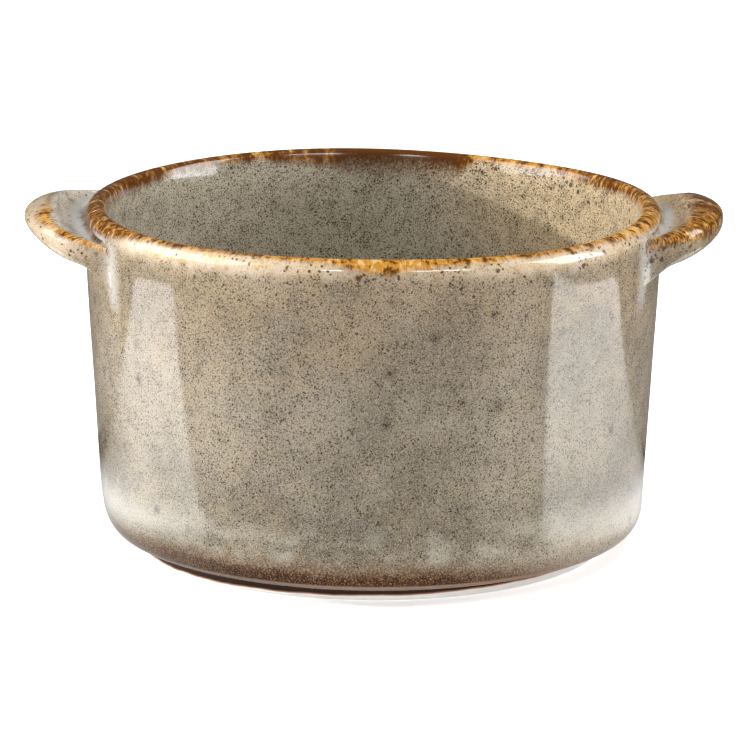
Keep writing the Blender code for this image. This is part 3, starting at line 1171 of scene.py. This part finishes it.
def shine(g, level):
    """Makes a material give off this level of white light and reflect none."""
    g.shader.inputs["Base Color"].default_value = BLACK
    g.shader.inputs["Specular IOR Level"].default_value = 0.0
    g.shader.inputs["Emission Color"].default_value = WHITE
    g.feed(g.shader.inputs["Emission Strength"], level)


# Shade under the pot, an oval that fades out between its core and its rim
SHADE_SIDE = 36.0
SHADE_FRONT = 50.0
SHADE_CORE = 0.9
SHADE_RIM = 1.25
SHADE_LEVEL = 0.25
SHADE_STEPS = 64


def add_foot_shade():
    """Painted shadow of the pot on the table under it, a sheet which only shows in its gloss and ends as
    bright as the table round it.
    """
    g = Graph("foot_shade")
    across = g.times(g.x, 1 / SHADE_SIDE)
    forward = g.times(g.y, 1 / SHADE_FRONT)
    reach = g.math("SQRT", g.add(g.times(across, across), g.times(forward, forward)))
    shine(g, g.ramp(g.fade(reach, SHADE_CORE, SHADE_RIM), SHADE_LEVEL, TABLE_LEVEL))
    corners = []
    for step in range(SHADE_STEPS):
        turn = 2 * math.pi * step / SHADE_STEPS
        side = SHADE_SIDE * SHADE_RIM * math.cos(turn)
        corners.append((side, SHADE_FRONT * SHADE_RIM * math.sin(turn), FOOT_SHADE_HEIGHT))
    add_flag("foot_shade", corners, g.material)


# Painted pools of light on the table beside the pot, as glowing sheets: where their slanting front and back
# edges lie, this near to the middle, and how their light changes outwards and towards the back
Glow = namedtuple("Glow", "name side level front front_slope back back_slope")
GLOWS = (
    Glow("left_glow", side=-1, level=0.84, front=-45.0, front_slope=0.06, back=70.0, back_slope=-0.15),
    Glow("right_glow", side=1, level=0.76, front=-44.0, front_slope=-0.32, back=55.0, back_slope=-0.08),
)
GLOW_START = 46.0
GLOW_NEAR = 50.0
GLOW_FULL = 64.0
GLOW_FAR = 240.0
GLOW_EDGE = 3.0
NEAR_LEVEL = 2.9
NEAR_CHANGE = -0.055
FAR_GAIN = 2.5
FAR_CHANGE = 0.027
GAIN_REACH = (80.0, 215.0)


def level_from(g, start, level, share):
    """Level that a share takes from a start to its full value."""
    return g.add(start, g.times(share, g.add(level, -start)))


def add_glow(glow):
    """Painted pool of light on the table beside the pot, a glowing sheet which only shows in the pot's
    gloss.
    """
    g = Graph(glow.name)
    away = g.math("ABSOLUTE", g.x)
    near = g.math("MULTIPLY_ADD", g.y, NEAR_CHANGE, NEAR_LEVEL)
    gain = g.math("MULTIPLY_ADD", g.y, FAR_CHANGE, FAR_GAIN)
    level = g.times(g.add(near, g.times(g.fade(away, *GAIN_REACH), gain)), glow.level)
    level = level_from(g, TABLE_LEVEL, level, g.fade(away, GLOW_START, GLOW_FULL))
    past_near = g.add(away, -GLOW_NEAR)
    from_front = g.math("SUBTRACT", g.y, g.math("MULTIPLY_ADD", past_near, glow.front_slope, glow.front))
    to_back = g.math("SUBTRACT", g.math("MULTIPLY_ADD", past_near, glow.back_slope, glow.back), g.y)
    for distance, outside in ((from_front, TABLE_LEVEL), (to_back, FLAG_LEVEL)):
        level = level_from(g, outside, level, g.fade(distance, -GLOW_EDGE, GLOW_EDGE))
    shine(g, g.math("MAXIMUM", level, 0.0))
    corners = []
    for reach in (GLOW_START, GLOW_FAR):
        front = glow.front + glow.front_slope * (reach - GLOW_NEAR) - GLOW_EDGE
        back = glow.back + glow.back_slope * (reach - GLOW_NEAR) + GLOW_EDGE
        pair = [(glow.side * reach, front, GLOW_HEIGHT), (glow.side * reach, back, GLOW_HEIGHT)]
        corners += pair if reach == GLOW_START else reversed(pair)
    add_flag(glow.name, corners, g.material)


def add_surroundings():
    """White surroundings, which light the pot at a lower level than they show."""
    world = bpy.data.worlds.new("surroundings")
    bpy.context.scene.world = world
    world.use_nodes = True
    tree = world.node_tree
    strength = tree.nodes.new("ShaderNodeMapRange")
    tree.links.new(seen_directly(tree), strength.inputs["Value"])
    strength.inputs["To Min"].default_value = AMBIENT
    strength.inputs["To Max"].default_value = 1.0
    tree.links.new(strength.outputs[0], tree.nodes["Background"].inputs["Strength"])
    tree.nodes["Background"].inputs["Color"].default_value = WHITE


def add_stage():
    """White floor and surroundings, and the table, flags and glows that only show in the pot's gloss."""
    add_sheet("floor", level_sheet(STAGE_SIDE, -STAGE_SIDE, STAGE_SIDE, 0), white_floor())
    behind = level_sheet(TABLE_SIDE, TABLE_EDGE, TABLE_BACK, TABLE_FLAG_HEIGHT)
    add_flag("table_flag", behind, dull("grey_flag", FLAG_GREY).material)
    dark = dull("dark_flag", FLAG_DARK).material
    add_flag("back_flag", upright_sheet(STAGE_SIDE, FLAG_BACK, FLAG_TOP), dark)
    add_flag("front_flag", upright_sheet(STAGE_SIDE, FLAG_FRONT, FLAG_TOP), dark)
    add_flag("top_flag", level_sheet(STAGE_SIDE, FLAG_FRONT, FLAG_BACK, FLAG_TOP), dark)
    table = Graph("dim_table")
    shine(table, TABLE_LEVEL)
    in_front = level_sheet(TABLE_SIDE, TABLE_FRONT, TABLE_EDGE, TABLE_HEIGHT)
    add_flag("front_table_flag", in_front, table.material)
    add_foot_shade()
    for glow in GLOWS:
        add_glow(glow)
    add_surroundings()


# Rectangular soft panels: some light the pot, and the others only show in its gloss
Panel = namedtuple("Panel", "name middle target size power")
LIGHTS = (
    Panel("top_light", (0, -150, 700), (0, 0, 40), (700, 500), 4.5),
    Panel("front_light", (0, -1200, 140), (0, 0, 30), (900, 300), 3.0),
    Panel("left_light", (-700, 74, 230), (0, 0, 45), (420, 300), 2.4),
    Panel("left_key", (-740, 50, 182), (0, 0, 50), (18, 18), 4.2),
    Panel("right_light", (700, 60, 260), (0, 0, 45), (260, 260), 3.0),
    Panel("foot_light", (0, -54, 1.2), (0, 0, 1.2), (90, 2), 0.0032),
    Panel("left_bounce", (-70, -26, 1), (-54, -20, 20), (50, 70), 0.003),
    Panel("right_bounce", (70, -26, 1), (54, -20, 20), (50, 70), 0.004),
)
GLOSS_PANELS = (
    Panel("left_soft", (-700, -20, 460), (0, 0, 50), (800, 560), 6.8),
    Panel("right_soft", (650, -45, 360), (0, 0, 50), (340, 500), 4.3),
    Panel("front_left_lamp", (-290, -820, 560), (0, 0, 55), (150, 80), 1.1),
    Panel("front_right_lamp", (390, -770, 560), (0, 0, 55), (380, 130), 2.0),
)


def add_panel(panel, gloss):
    """Soft panel, aimed at its target, which either lights the pot or shows in its gloss."""
    data = bpy.data.lights.new(panel.name, "AREA")
    data.shape = "RECTANGLE"
    data.size = panel.size[0] * MM
    data.size_y = panel.size[1] * MM
    data.energy = panel.power
    light = add_object(panel.name, data)
    light.location = Vector(panel.middle) * MM
    aim = Vector(panel.target) - Vector(panel.middle)
    light.rotation_mode = "QUATERNION"
    light.rotation_quaternion = aim.to_track_quat("-Z", "Y")
    light.visible_camera = False
    light.visible_diffuse = not gloss
    light.visible_glossy = gloss


add_pieces()
add_camera()
add_stage()
for panel in LIGHTS:
    add_panel(panel, gloss=False)
for panel in GLOSS_PANELS:
    add_panel(panel, gloss=True)
bpy.context.scene.view_settings.view_transform = "Standard"
